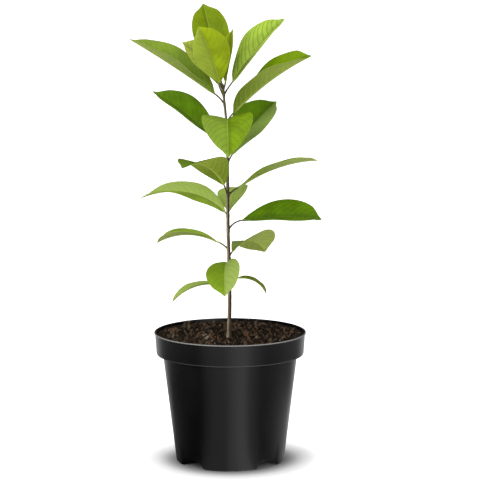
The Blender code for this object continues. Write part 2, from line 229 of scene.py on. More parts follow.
@dataclass
class Leaf:
    """Where a leaf leaves the stem and how it runs from there."""
    name: str
    tint: str
    height: float            # of its node on the stem
    turn: float
    stalk: float             # length of the stalk
    stalk_rise: float        # angle of the stalk above level at the stem
    rise: float              # angle of the midrib above level at the foot of the blade
    droop: float             # how far the midrib has turned down at the tip
    length: float
    width: float
    fold: float              # how far each half is folded up at the midrib
    roll: float = 0.0        # of the whole blade about its midrib
    twist: float = 0.0       # roll that the blade gains by its tip
    sweep: float = 0.0       # turn that the midrib gains by its tip
    bend: float = 1.0        # above 1 the midrib bends late, below 1 early
    fullness: float = 0.80   # lower is blunter at both ends
    widest: float = 1.22     # higher moves the widest part towards the tip
    paler: tuple = (0.0, 0.0)    # painted sheen: how much paler its left and right halves are, from the stalk
    striped: float = 0.15    # how dark the side veins are


LEAVES = (
    Leaf("leaf_01_top_back", "olive", .4210, 115, .011, 50, 63, 6, .095, .042, 20, roll=-20,
         fullness=.66, widest=1.4),
    Leaf("leaf_02_top_front", "gold", .4185, 214, .009, 50, 71, 16, .069, .045, 26, roll=-106,
         bend=2, fullness=.72, widest=1.2, paler=(.4, 0)),
    Leaf("leaf_03_top_left", "pale", .4124, 170, .012, 56, 72, 46, .065, .030, 20, roll=-54),
    Leaf("leaf_04_top_folded", "gold", .4187, 48, .008, 50, 81, 6, .061, .020, 40),
    Leaf("leaf_05_upper_right", "lit", .4128, 16, .017, 60, 50.5, 2, .092, .062, 30, twist=14,
         fullness=.66, widest=1.25, striped=.75),
    Leaf("leaf_06_upper_left", "fresh", .4025, 165, .016, 58, 34, 6, .116, .047, 50, roll=-10,
         fullness=.76, widest=.98, paler=(.3, .3)),
    Leaf("leaf_07_middle_left", "deep", .3500, 160, .015, 45, 43, 16, .096, .052, 28, roll=-14),
    Leaf("leaf_08_arching_right", "fresh", .3820, 337, .014, 62, 45.5, 21, .114, .0535, 48,
         roll=3, twist=24, fullness=.68, widest=1.1),
    Leaf("leaf_09_middle_right", "deep", .3380, 30, .010, 60, 55, 20, .082, .054, 28, roll=23,
         paler=(0, .8)),
    Leaf("leaf_10_front", "bright", .3800, 272, .014, 20, 22, 93, .089, .058, 22, roll=3,
         widest=.95, paler=(0, .3), striped=.3),
    Leaf("leaf_11_rolled_left", "dusky", .3020, 226, .013, 70, 57, 76, .082, .052, 18, roll=28,
         twist=-34, sweep=10, widest=1.1),
    Leaf("leaf_12_slim_right", "soft", .3020, 8, .014, 42, 33, 34, .098, .040, 20, roll=-6,
         bend=1.2),
    Leaf("leaf_13_long_left", "soft", .2795, 183, .004, 50, 50, 74, .103, .042, 15, roll=-50,
         twist=62, bend=.85, fullness=.66, widest=1.25, paler=(0, .9)),
    Leaf("leaf_14_back", "soft", .2790, 80, .006, 40, 36, 30, .062, .037, 24, roll=-10,
         paler=(.9, .9)),
    Leaf("leaf_15_broad_right", "deep", .2625, 350, .020, 66, 10, 16, .0905, .050, 30, roll=24,
         fullness=.68, striped=.35),
    Leaf("leaf_16_lower_left", "soft", .2415, 165, .012, 42, 28, 61, .079, .033, 26, roll=5,
         twist=-10, fullness=.66, widest=1.9),
    Leaf("leaf_17_lower_right", "dusky", .2310, 48, .008, 66, 44, 99, .064, .052, 16, roll=-6,
         twist=-30, fullness=.74, widest=1.5, paler=(.7, .7)),
    Leaf("leaf_18_lower_front", "bright", .2250, 262, .012, 20, 14, 88, .066, .041, 26, roll=15,
         sweep=12, widest=1.4, paler=(1, .1)),
    Leaf("leaf_19_lowest_left", "soft", .2000, 195, .012, 18, 12, 62, .061, .022, 20,
         paler=(.9, .9)),
    Leaf("leaf_20_lowest_right", "dusky", .2065, 12, .010, 26, 8, 78, .041, .018, 20),
    Leaf("leaf_21_upper_hidden", "fresh", .3600, 92, .012, 30, 24, 66, .076, .040, 20),
    Leaf("leaf_22_lower_hidden", "dusky", .2120, 98, .010, 20, 10, 60, .056, .028, 20),
)

# Each tint: the record's slot, the upper face, then the underside
TINTS = {
    "olive": ("leaf_young", (0.160, 0.235, 0.001), (0.360, 0.430, 0.060)),
    "gold": ("leaf_young", (0.270, 0.355, 0.006), (0.330, 0.390, 0.040)),
    "pale": ("leaf_young", (0.380, 0.460, 0.060), (0.440, 0.500, 0.090)),
    # lit: leaf 5's light yellow-green, made lighter still: partly its own colour, partly painted
    # light
    "lit": ("leaf_fresh", (0.330, 0.480, 0.050), (0.500, 0.620, 0.080)),
    "fresh": ("leaf_fresh", (0.150, 0.250, 0.001), (0.300, 0.385, 0.060)),
    "deep": ("leaf_deep", (0.095, 0.195, 0.001), (0.240, 0.340, 0.060)),
    "bright": ("leaf_light", (0.155, 0.260, 0.002), (0.340, 0.440, 0.060)),
    "soft": ("leaf_light", (0.255, 0.370, 0.030), (0.360, 0.440, 0.110)),
    "dusky": ("leaf_light", (0.110, 0.185, 0.008), (0.370, 0.460, 0.060)),
}
SHEEN = (0.460, 0.580, 0.170)         # painted sheen: what a paler half is mixed with
PALE_VEIN = (0.560, 0.620, 0.160)
UNDER_STALK_SHADE = (0.150, 0.250, 0.004)    # painted shade of the underside next to the stalk


class Value:
    """A number in a material. Sums and products of it add Math nodes."""

    def __init__(self, finish, socket):
        self.finish = finish
        self.socket = socket

    def math(self, operation, *values):
        return self.finish.add("Math", {"operation": operation}, dict(enumerate(values)))

    def __add__(self, other):
        return self.math("ADD", self, other)

    __radd__ = __add__

    def __sub__(self, other):
        return self.math("SUBTRACT", self, other)

    def __rsub__(self, other):
        return self.math("SUBTRACT", other, self)

    def __mul__(self, other):
        return self.math("MULTIPLY", self, other)

    __rmul__ = __mul__

    def __truediv__(self, other):
        return self.math("DIVIDE", self, other)

    def __pow__(self, other):
        return self.math("POWER", self, other)

    def __abs__(self):
        return self.math("ABSOLUTE", self)

    def wave(self):
        """0 at each whole number and 1 half way between two."""
        return 0.5 - 0.5 * self.math("COSINE", self * (2 * pi))

    def rise(self, low, high):
        """0 below low, 1 above high and a smooth rise between them."""
        return self.finish.add("MapRange", {"interpolation_type": "SMOOTHSTEP"},
                               {"Value": self, "From Min": low, "From Max": high})


class Finish:
    """A material, and the one way in which its nodes are added."""

    def __init__(self, name):
        self.material = bpy.data.materials.new(name)
        self.material.use_nodes = True
        self.tree = self.material.node_tree
        self.shader = self.tree.nodes["Principled BSDF"]

    def add(self, kind, settings=None, sockets=None, out=0):
        """Add a node: its settings first, then the values and links of its sockets."""
        node = self.tree.nodes.new("ShaderNode" + kind)
        for name, setting in (settings or {}).items():
            setattr(node, name, setting)
        for name, value in (sockets or {}).items():
            self.feed(node.inputs[name], value)
        return Value(self, node.outputs[out])

    def feed(self, socket, value):
        if isinstance(value, Value):
            self.tree.links.new(value.socket, socket)
        elif isinstance(value, tuple) and len(value) == 3 and socket.type == "RGBA":
            socket.default_value = (*value, 1.0)
        else:
            socket.default_value = value

    def place(self):
        """Where a point lies in the frame, in metres."""
        return self.add("TexCoord", out="Object")

    def axes(self, vector):
        """The three numbers of a vector."""
        node = self.add("SeparateXYZ", None, {"Vector": vector}).socket.node
        return [Value(self, socket) for socket in node.outputs]

    def noise(self, scale, detail=3.0, stretch=None):
        coords = self.place()
        if stretch:
            coords = self.add("Mapping", None, {"Vector": coords, "Scale": stretch})
        return self.add("TexNoise", None, {"Vector": coords, "Scale": scale, "Detail": detail})

    def cells(self, scale):
        """Distance to the nearest wall between two cells."""
        return self.add("TexVoronoi", {"feature": "DISTANCE_TO_EDGE"},
                        {"Vector": self.place(), "Scale": scale})

    def mix(self, factor, first, second):
        return self.add("Mix", {"data_type": "RGBA"}, {0: factor, 6: first, 7: second}, out=2)

    def map(self, name):
        """The two numbers of one of the piece's own UV maps."""
        return self.axes(self.add("UVMap", {"uv_map": name}))[:2]

    def bump(self, height, distance, strength=1.0):
        return self.add("Bump", None,
                        {"Height": height, "Distance": distance, "Strength": strength})

    def dress(self, **sockets):
        """Set or link the shader's own sockets, named with underscores for spaces."""
        for name, value in sockets.items():
            self.feed(self.shader.inputs[name.replace("_", " ")], value)
        return self.material


def dim(colour, factor):
    return tuple(part * factor for part in colour)


def blend(first, second, share):
    return tuple(one + share * (two - one) for one, two in zip(first, second))


def upper_face(name, colour):
    """Satin blade: pale midrib with painted shade along one side of it, painted sheen on paler
    halves, side veins and a fine net.
    """
    finish = Finish(name)
    phase, out = finish.map("veins")
    across, share = finish.map("blade")
    painted_sheen_half, striped = finish.map("shade")
    between = phase.wave()
    vein = 1 - between.rise(0.0, 0.24)
    rib = 1 - out.rise(0.008, 0.030)
    # painted shade: one side of the midrib is darkened, as the fold shades it
    painted_fold_shade = across.rise(0.498, 0.502) - out.rise(0.035, 0.190)
    margin = abs(across - 0.5).rise(0.485, 0.5)
    blotch = finish.noise(60.0, 4.0).rise(0.36, 0.66)
    net = finish.cells(1500.0).rise(0.0, 0.16)
    pale = blend(colour, PALE_VEIN, 0.35)
    skin = finish.mix(blotch, dim(colour, 0.84), dim(colour, 1.16))
    skin = finish.mix(share.rise(0.45, 1.0) * 0.30, skin, dim(colour, 1.30))
    skin = finish.mix(painted_fold_shade.rise(0.0, 1.0) * 0.45, skin, dim(colour, 0.50))
    # painted sheen: a paler half is mixed towards SHEEN
    skin = finish.mix(painted_sheen_half, skin, blend(colour, SHEEN, 0.50))
    skin = finish.mix(vein * striped, skin, dim(colour, 0.52))
    skin = finish.mix(rib * 0.38, skin, pale)
    skin = finish.mix(margin * 0.40, skin, pale)
    grain = finish.noise(900.0, 2.0)
    return finish.dress(
        Base_Color=skin,
        Roughness=0.46 + blotch * 0.08 + vein * 0.05,
        Normal=finish.bump(net * 0.5 + between * 0.8 + grain * 0.3, 0.00012, 0.6),
        Specular_IOR_Level=0.10)


def underside(name, colour):
    """Matt, paler blade on which midrib and side veins stand out."""
    finish = Finish(name)
    phase, out = finish.map("veins")
    share = finish.map("blade")[1]
    vein = 1 - phase.wave().rise(0.0, 0.14)
    rib = 1 - out.rise(0.010, 0.040)
    blotch = finish.noise(70.0, 4.0).rise(0.34, 0.70)
    net = finish.cells(1300.0).rise(0.0, 0.16)
    skin = finish.mix(blotch, dim(colour, 0.94), dim(colour, 1.06))
    # painted shade: the underside is darker near the stalk than towards the tip
    skin = finish.mix(share.rise(0.10, 0.80), blend(dim(colour, 0.55), UNDER_STALK_SHADE, 0.5), skin)
    # painted sheen: the paler halves of the underside are mixed towards SHEEN
    skin = finish.mix(finish.map("shade")[0], skin, blend(colour, SHEEN, 0.60))
    skin = finish.mix((1 - net) * 0.08, skin, dim(colour, 1.25))
    pale = blend(colour, PALE_VEIN, 0.45)
    skin = finish.mix(vein * 0.30, skin, pale)
    skin = finish.mix(rib * 0.80, skin, pale)
    return finish.dress(
        Base_Color=skin,
        Roughness=0.60 + blotch * 0.08,
        Normal=finish.bump(vein + (1 - net) * 0.3, 0.00018, 0.6),
        Specular_IOR_Level=0.12)


def stalk_skin(name, colour):
    """Dark brown stalk that turns green towards the blade and pale as its midrib."""
    finish = Finish(name)
    along = finish.map("blade")[1]
    speck = finish.noise(1400.0, 2.0).rise(0.45, 0.66)
    brown = finish.mix(speck, (0.034, 0.020, 0.009), (0.075, 0.048, 0.020))
    olive = finish.mix(speck, (0.070, 0.068, 0.016), (0.110, 0.105, 0.028))
    stalk = finish.mix(along.rise(0.15, 0.80), brown, olive)
    return finish.dress(
        Base_Color=finish.mix(along.rise(0.80, 1.0), stalk, dim(colour, 0.95)),
        Roughness=0.50 + speck * 0.10,
        Normal=finish.bump(finish.noise(900.0, 2.0, (1.0, 1.0, 0.25)), 0.00010, 0.6),
        Specular_IOR_Level=0.30)


def bark_skin():
    """Young bark: brown, painted pale tan on its left side as if lit from there, streaked, green
    at the top.
    """
    finish = Finish("young_bark")
    height = finish.axes(finish.place())[2]
    facing = finish.axes(finish.add("NewGeometry", out="Normal"))[0]
    # painted light: the side whose surface faces -X is painted pale tan
    painted_lit_side = 1 - facing.rise(-0.90, 0.25)
    patch = finish.noise(160.0, 4.0, (1.0, 1.0, 0.35)).rise(0.38, 0.66)
    streak = finish.noise(900.0, 3.0, (1.0, 1.0, 0.12)).rise(0.42, 0.66)
    pores = finish.noise(1500.0, 1.0, (1.0, 1.0, 0.55)).rise(0.66, 0.74)
    brown = finish.mix(patch, (0.040, 0.026, 0.014), (0.085, 0.060, 0.034))
    brown = finish.mix(painted_lit_side * 0.9, brown, (0.520, 0.435, 0.290))
    brown = finish.mix(streak * 0.6, brown, (0.040, 0.020, 0.009))
    brown = finish.mix(height.rise(0.385, 0.425) * 0.75, brown, (0.100, 0.105, 0.018))
    return finish.dress(
        Base_Color=finish.mix(pores * 0.6, brown, (0.330, 0.270, 0.180)),
        Roughness=0.58 + streak * 0.14,
        Normal=finish.bump(streak * 0.5 + pores, 0.00012, 0.8),
        Specular_IOR_Level=0.15)


def pot_skin():
    """Satin black moulded plastic: faint grain, dusty smears, a painted highlight along the lip
    and along the collar's lower edge.
    """
    finish = Finish("black_plastic")
    dust = finish.noise(26.0, 5.0, (1.0, 1.0, 0.4)).rise(0.50, 0.78)
    grain = finish.noise(2600.0, 2.0)
    wave = finish.noise(30.0, 2.0, (1.0, 1.0, 0.25))
    x, y, z = finish.axes(finish.place())
    radius = (x * x + y * y) ** 0.5
    # painted highlight: the outer edge of the rim's top is light grey and rougher
    painted_lip_highlight = (radius.rise(*(RIM_RADIUS - inset for inset in LIP_HIGHLIGHT_WIDTH))
            * z.rise(*(POT_HEIGHT - drop for drop in LIP_HIGHLIGHT_DEPTH)))
    crease = 1 - abs(z - COLLAR_FOOT + CREASE_DROP).rise(0.0005, 0.0014)
    # painted highlight: a pale line along the collar's lower edge
    painted_collar_highlight = 1 - abs(z - COLLAR_FOOT - COLLAR_HIGHLIGHT_RISE).rise(0.0002, 0.0009)
    skin = finish.mix(dust * 0.5, (0.0020, 0.0020, 0.0023), (0.0048, 0.0046, 0.0045))
    skin = finish.mix(painted_collar_highlight * 0.40, skin, (0.110, 0.107, 0.103))
    return finish.dress(
        Base_Color=finish.mix(painted_lip_highlight * 0.9, skin, (0.270, 0.262, 0.252)),
        Roughness=0.25 + dust * 0.09 + painted_lip_highlight * 0.2 + crease * 0.5,
        Normal=finish.bump(grain * 0.12 + wave * 0.9, 0.00012, 0.35),
        Specular_IOR_Level=0.5)


def compost_skin(name, dark, light, grain=700.0):
    """Crumbly, matt filling."""
    finish = Finish(name)
    patch = finish.noise(grain, 4.0).rise(0.36, 0.68)
    fleck = finish.noise(grain * 2.6, 2.0).rise(0.64, 0.74)
    skin = finish.mix(patch, dark, light)
    return finish.dress(
        Base_Color=finish.mix(fleck * 0.25, skin, dim(light, 1.8)),
        Roughness=0.86 + patch * 0.10,
        Normal=finish.bump(finish.noise(grain * 1.6, 4.0), 0.0004, 0.8),
        Specular_IOR_Level=0.15)


def object_from(name, bm, *materials):
    """Turn a bmesh into a smooth-shaded object at the origin, with its place in its mesh."""
    mesh = bpy.data.meshes.new(name)
    bm.to_mesh(mesh)
    bm.free()
    for finish in materials:
        mesh.materials.append(finish)
    mesh.shade_smooth()
    mesh.set_sharp_from_angle(angle=radians(SHARP_ANGLE))
    made = bpy.data.objects.new(name, mesh)
    bpy.context.scene.collection.objects.link(made)
    return made


def keep(piece, slot, *nodes):
    """Let a piece ride on the plant's one body and stand for nodes. The slot is not used."""
    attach(piece, "root")
    if nodes:
        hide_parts(*nodes)


def baked(item):
    """The object's mesh with its modifiers applied, as a bmesh. The object is removed."""
    graph = bpy.context.evaluated_depsgraph_get()
    mesh = bpy.data.meshes.new_from_object(item.evaluated_get(graph))
    bpy.data.objects.remove(item, do_unlink=True)
    bm = bmesh.new()
    bm.from_mesh(mesh)
    return bm


def smooth(value, low, high):
    """0 below low, 1 above high and a smooth rise between them."""
    share = min(max((value - low) / (high - low), 0.0), 1.0)
    return share * share * (3 - 2 * share)


def on_curve(points, share):
    """A smooth curve through the points, read at a share of its length in knots."""
    spans = len(points) - 1
    place = share * spans
    index = min(int(place), spans - 1)
    t = place - index
    before, start, end, after = (Vector(points[min(max(index + k, 0), spans)])
                                 for k in (-1, 0, 1, 2))
    return 0.5 * (2 * start + (end - before) * t
                  + (2 * before - 5 * start + 4 * end - after) * t ** 2
                  + (3 * start - before - 3 * end + after) * t ** 3)


def stem_at(height):
    """The middle of the stem at a height."""
    low, high = 0.0, 1.0
    for _ in range(FINE_STEPS):
        share = (low + high) / 2
        if on_curve(STEM_PATH, share).z < height:
            low = share
        else:
            high = share
    return on_curve(STEM_PATH, low)


def stem_radius(height):
    foot, top = STEM_PATH[0][2], STEM_PATH[-1][2]
    share = (height - foot) / (top - foot)
    flare = ROOT_FLARE * exp(-max(height - foot, 0) / ROOT_FLARE_REACH)
    return STEM_RADIUS_LOW + share * (STEM_RADIUS_HIGH - STEM_RADIUS_LOW) + flare


def direction(turn, rise):
    turn, rise = radians(turn), radians(rise)
    return Vector((cos(rise) * cos(turn), cos(rise) * sin(turn), sin(rise)))


def run(start, length, turn_at, rise_at):
    """Add up a curve whose turn and rise are functions of the share of its length."""
    points = [start.copy()]
    for step in range(FINE_STEPS):
        share = (step + 0.5) / FINE_STEPS
        points.append(points[-1] + direction(turn_at(share), rise_at(share)) * length / FINE_STEPS)
    return points


def stalk_points(leaf):
    return run(stem_at(leaf.height), leaf.stalk, lambda share: leaf.turn,
               lambda share: leaf.stalk_rise + share * (leaf.rise - leaf.stalk_rise))


def midrib_rise(leaf, share):
    return leaf.rise - leaf.droop * share ** leaf.bend


def midrib_points(leaf):
    return run(stalk_points(leaf)[-1], leaf.length, lambda share: leaf.turn + leaf.sweep * share,
               lambda share: midrib_rise(leaf, share))


def at_share(points, share):
    place = share * (len(points) - 1)
    index = min(int(place), len(points) - 2)
    return points[index].lerp(points[index + 1], place - index)


def blade_axes(leaf, share):
    """Across the blade and up from its face, at a share of the midrib."""
    turn = radians(leaf.turn + leaf.sweep * share)
    along = direction(leaf.turn + leaf.sweep * share, midrib_rise(leaf, share))
    level = Vector((-sin(turn), cos(turn), 0.0))
    upright = along.cross(level)
    roll = radians(leaf.roll + leaf.twist * share)
    across = level * cos(roll) + upright * sin(roll)
    up = upright * cos(roll) - level * sin(roll)
    return across, up


def half_width(leaf, share):
    outline = max(sin(pi * share ** leaf.widest), 0.0) ** leaf.fullness
    outline *= 1 - TIP_DRAW * smooth(share, TIP_START, 1.0)
    return max(leaf.width / 2 * outline, BLADE_END_HALF_WIDTH)


def folded(leaf, share, out):
    """Across, up and slope of a point of a half; the first two are shares of its width."""
    fold = leaf.fold * min(1.0, share / FLAT_ENDS, (1 - share) / FLAT_ENDS)
    across = up = 0.0
    for step in range(FOLD_STEPS):
        part = (step + 0.5) / FOLD_STEPS * out
        angle = radians(fold * (1 - FOLD_OPENING * part))
        across += cos(angle) * out / FOLD_STEPS
        up += sin(angle) * out / FOLD_STEPS
    return across, up, radians(fold * (1 - FOLD_OPENING * out))


class Growth:
    """What makes one leaf unlike the next: where its veins and waves fall."""

    def __init__(self, leaf):
        chance = Random(leaf.name)
        self.seed = chance.uniform(0.0, 100.0)
        self.offset = chance.uniform(0.2, 0.5)
        self.waves = chance.uniform(*RIPPLE_WAVES)
        self.start = chance.uniform(0.0, 1.0)
        self.pairs = round(leaf.length / VEIN_SPACING)
        self.ripple = RIPPLE * (leaf.length / USUAL_LENGTH) ** 2

    def phase(self, leaf, share, out, side):
        """Counts the side veins: a vein lies at each whole number."""
        forward = half_width(leaf, share) / leaf.length * (VEIN_LEAN * out + VEIN_HOOK * out ** 3)
        stray = VEIN_STRAY * noise.noise(Vector((share * 5, side, self.seed)))
        return (share - forward) * self.pairs + stray + (self.offset if side > 0 else 0.0)

    def relief(self, leaf, share, side):
        """How far the blade stands out of its plain shape."""
        out = abs(side)
        ends = smooth(share, 0.0, RELIEF_FOOT) * smooth(1 - share, 0.0, RELIEF_TIP)
        between = 0.5 - 0.5 * cos(2 * pi * self.phase(leaf, share, out, side))
        quilt = QUILT * between * smooth(out, 0.04, 0.35) * (1 - 0.7 * smooth(out, 0.75, 1.0))
        groove = GROOVE * exp(-(out * half_width(leaf, share) / GROOVE_WIDTH) ** 2)
        wave = sin(2 * pi * (self.waves * share + self.start + RIPPLE_LAG * (side > 0)))
        drift = noise.noise(Vector((share * 3.2, side * 1.6, self.seed + 7)))
        ripple = self.ripple * out ** 2 * (wave + RIPPLE_DRIFT * drift)
        return ends * (quilt - groove + ripple)


def rod(points, radii, sides):
    """A round, tapering rod through the points, with closed ends, as a bmesh."""
    curve = bpy.data.curves.new("rod", "CURVE")
    curve.dimensions = "3D"
    curve.bevel_depth = 1.0
    curve.bevel_resolution = sides // 2 - 2     # the round section then has that many sides
    curve.use_fill_caps = True
    spline = curve.splines.new("POLY")
    spline.points.add(len(points) - 1)
    for knot, point, radius in zip(spline.points, points, radii):
        knot.co = (*point, 1.0)
        knot.radius = radius
    line = bpy.data.objects.new("rod", curve)
    bpy.context.scene.collection.objects.link(line)
    bm = bmesh.new()
    bm.from_mesh(line.to_mesh())
    bpy.data.objects.remove(line, do_unlink=True)
    bmesh.ops.remove_doubles(bm, verts=bm.verts, dist=MERGE)
    bmesh.ops.recalc_face_normals(bm, faces=bm.faces)
    return bm


def blade_grid(leaf, growth):
    """The blade's middle sheet, with its three maps and its upper face upwards."""
    bm = bmesh.new()
    bmesh.ops.create_grid(bm, x_segments=BLADE_ROWS, y_segments=BLADE_COLUMNS, size=1.0)
    blade_map = bm.loops.layers.uv.new("blade")
    vein_map = bm.loops.layers.uv.new("veins")
    shade_map = bm.loops.layers.uv.new("shade")
    for face in bm.faces:
        side = 1.0 if face.calc_center_median().y > 0 else -1.0
        for corner in face.loops:
            share, out = (corner.vert.co.x + 1) / 2, abs(corner.vert.co.y)
            corner[blade_map].uv = (corner.vert.co.y / 2 + 0.5, share)
            corner[vein_map].uv = (growth.phase(leaf, share, out, side * max(out, 1e-3)),
                                   out * half_width(leaf, share) * RIB_SCALE)
            # the shade map holds each half's painted sheen and how dark the side veins are
            corner[shade_map].uv = (leaf.paler[side < 0], leaf.striped)
    midrib = midrib_points(leaf)
    for point in bm.verts:
        share, side = (point.co.x + 1) / 2, point.co.y
        across, up, slope = folded(leaf, share, abs(side))
        axis_across, axis_up = blade_axes(leaf, share)
        axis_across *= 1 if side > 0 else -1
        outward = axis_up * cos(slope) - axis_across * sin(slope)
        wide = half_width(leaf, share)
        point.co = (at_share(midrib, share) + (axis_across * across + axis_up * up) * wide
                    + outward * growth.relief(leaf, share, side))
    bmesh.ops.recalc_face_normals(bm, faces=bm.faces)
    middle = bm.faces[len(bm.faces) // 2]
    if middle.normal.dot(blade_axes(leaf, 0.5)[1]) < 0:
        bmesh.ops.reverse_faces(bm, faces=bm.faces)
    return bm


def stalk_rod(leaf):
    """The stalk from the stem's skin to the tip of the midrib, under the blade."""
    stalk, midrib = stalk_points(leaf), midrib_points(leaf)
    points, radii = [], []
    for ring in range(STALK_RINGS + 1):
        share = ring / STALK_RINGS
        points.append(at_share(stalk, share))
        radii.append(STALK_RADIUS * (1 + (STALK_FOOT_SWELL - 1) * (1 - smooth(share, 0.1, 0.5))))
    for ring in range(1, RIB_RINGS + 1):
        share = ring / RIB_RINGS * RIB_REACH
        radius = STALK_RADIUS * (1 - share) ** 0.8 * 0.92 + RIB_TIP_RADIUS
        sink = (RIB_SINK * radius + GROOVE * 0.6) * smooth(share, 0, 0.08)
        points.append(at_share(midrib, share) - blade_axes(leaf, share)[1] * sink)
        radii.append(radius)
    bm = rod(points, radii, STALK_SIDES)
    axis = stem_at(leaf.height)
    blade_map = bm.loops.layers.uv.new("blade")
    reach = leaf.stalk * 1.2
    for face in bm.faces:
        for corner in face.loops:
            corner[blade_map].uv = (0.5, min((corner.vert.co - axis).length / reach, 1.0))
    return bm


def joined(target, extra, material_index=None):
    """Add a second bmesh to the first, with its faces on one of the piece's materials."""
    if material_index is not None:
        for face in extra.faces:
            face.material_index = material_index
    mesh = bpy.data.meshes.new("extra")
    extra.to_mesh(mesh)
    extra.free()
    target.from_mesh(mesh)
    bpy.data.meshes.remove(mesh)


def make_leaf(leaf, slot, finishes):
    """A blade with its thickness, joined with its stalk and midrib."""
    sheet = object_from("sheet", blade_grid(leaf, Growth(leaf)), *finishes)
    thicken = sheet.modifiers.new("thickness", "SOLIDIFY")
    thicken.thickness = BLADE_THICKNESS
    thicken.offset = 0.0
    thicken.material_offset = UNDER_FINISH
    bm = baked(sheet)
    joined(bm, stalk_rod(leaf), STALK_FINISH)
    keep(object_from("magnolia_" + leaf.name, bm, *finishes), slot, leaf.name)


def make_leaves():
    """Every leaf, with one set of finishes for each tint."""
    for tint, (slot, top, under) in TINTS.items():
        finishes = (upper_face("leaf_top_" + tint, top), underside("leaf_under_" + tint, under),
                    stalk_skin("leaf_stalk_" + tint, under))
        for leaf in LEAVES:
            if leaf.tint == tint:
                make_leaf(leaf, slot, finishes)


def bark_relief(point, turn):
    """How far the bark stands out at a point, for a compass direction in degrees."""
    out = 0.0
    for leaf in LEAVES:
        rise = point.z - leaf.height
        if abs(rise) > NODE_RANGE:
            continue
        towards = cos(radians(turn - leaf.turn))
        out += NODE_SWELL * exp(-(rise / NODE_REACH) ** 2) * (0.75 + 0.55 * towards)
        out -= SCAR_DEPTH * exp(-((rise - SCAR_RISE + SCAR_TILT * towards) / SCAR_REACH) ** 2)
    ridge = noise.noise(point * Vector(BARK_RIDGES))
    lump = noise.noise(point * Vector(BARK_LUMPS) + Vector((0.0, 0.0, 40.0)))
    return out + BARK_RELIEF * (ridge + lump)


def make_trunk():
    """The stem from its flat cut at the compost to its bud, with its bark's relief."""
    foot, top = STEM_PATH[0][2], STEM_PATH[-1][2]
    points, radii = [], []
    for ring in range(STEM_RINGS + 1):
        point = stem_at(foot + ring / STEM_RINGS * (top - foot))
        points.append(point)
        radii.append(stem_radius(point.z))
    end, up = points[-1], (points[-1] - points[-2]).normalized()
    for rise, narrow in BUD:
        points.append(end + up * rise)
        radii.append(STEM_RADIUS_HIGH * narrow)
    bm = rod(points, radii, STEM_SIDES)
    for vert in bm.verts:
        ring = round((vert.co.z - foot) / (top - foot) * STEM_RINGS)
        middle = points[min(max(ring, 0), STEM_RINGS)]
        away = Vector((vert.co.x - middle.x, vert.co.y - middle.y, 0.0))
        if away.length > AXIS_GAP and foot + CUT_BAND < vert.co.z < top:
            turn = degrees(atan2(away.y, away.x))
            vert.co += away.normalized() * bark_relief(vert.co, turn)
    keep(object_from("magnolia_stem", bm, bark_skin()), "bark", "trunk")


def rounded(corners):
    """A profile from corners of (radius, height, rounding), with each corner as an arc."""
    points = [Vector(corner[:2]) for corner in corners]
    profile = [points[0]]
    for index in range(1, len(points) - 1):
        corner, size = points[index], corners[index][2]
        back = points[index - 1] - corner
        ahead = points[index + 1] - corner
        if not size:
            profile.append(corner)
            continue
        start = corner + back.normalized() * min(size, back.length * ROUND_SHARE)
        end = corner + ahead.normalized() * min(size, ahead.length * ROUND_SHARE)
        for step in range(ARC_STEPS + 1):
            t = step / ARC_STEPS
            profile.append((1 - t) ** 2 * start + 2 * t * (1 - t) * corner + t * t * end)
    return profile + [points[-1]]


def turned(profile, sides):
    """Spin a profile, from the axis round to the axis, into a closed shell."""
    bm = bmesh.new()
    corners = [bm.verts.new((point[0], 0.0, point[1])) for point in profile]
    edges = [bm.edges.new(pair) for pair in zip(corners, corners[1:])]
    bmesh.ops.spin(bm, geom=corners + edges, axis=(0, 0, 1), cent=(0, 0, 0),
                   angle=2 * pi, steps=sides, use_merge=True)
    bmesh.ops.remove_doubles(bm, verts=bm.verts, dist=MERGE)
    bmesh.ops.recalc_face_normals(bm, faces=bm.faces)
    return bm


def stretch_of(start, end, count):
    """Points on a straight wall between two corners, without the corners."""
    return [tuple(start[k] + (end[k] - start[k]) * step / count for k in (0, 1)) + (0,)
            for step in range(1, count)]


def bay_lift(radius, turn):
    """How far the floor and the foot of the wall are raised between the feet."""
    off = min(abs((turn - bay + 180) % 360 - 180) for bay in BAY_TURNS)
    round_the_pot = 1 - smooth(off, BAY_HALF_ANGLE_HIGH, BAY_HALF_ANGLE_LOW)
    return BAY_HEIGHT * round_the_pot * smooth(radius, BAY_INNER_RADIUS - BAY_EDGE / 2,
                                               BAY_INNER_RADIUS + BAY_EDGE / 2)


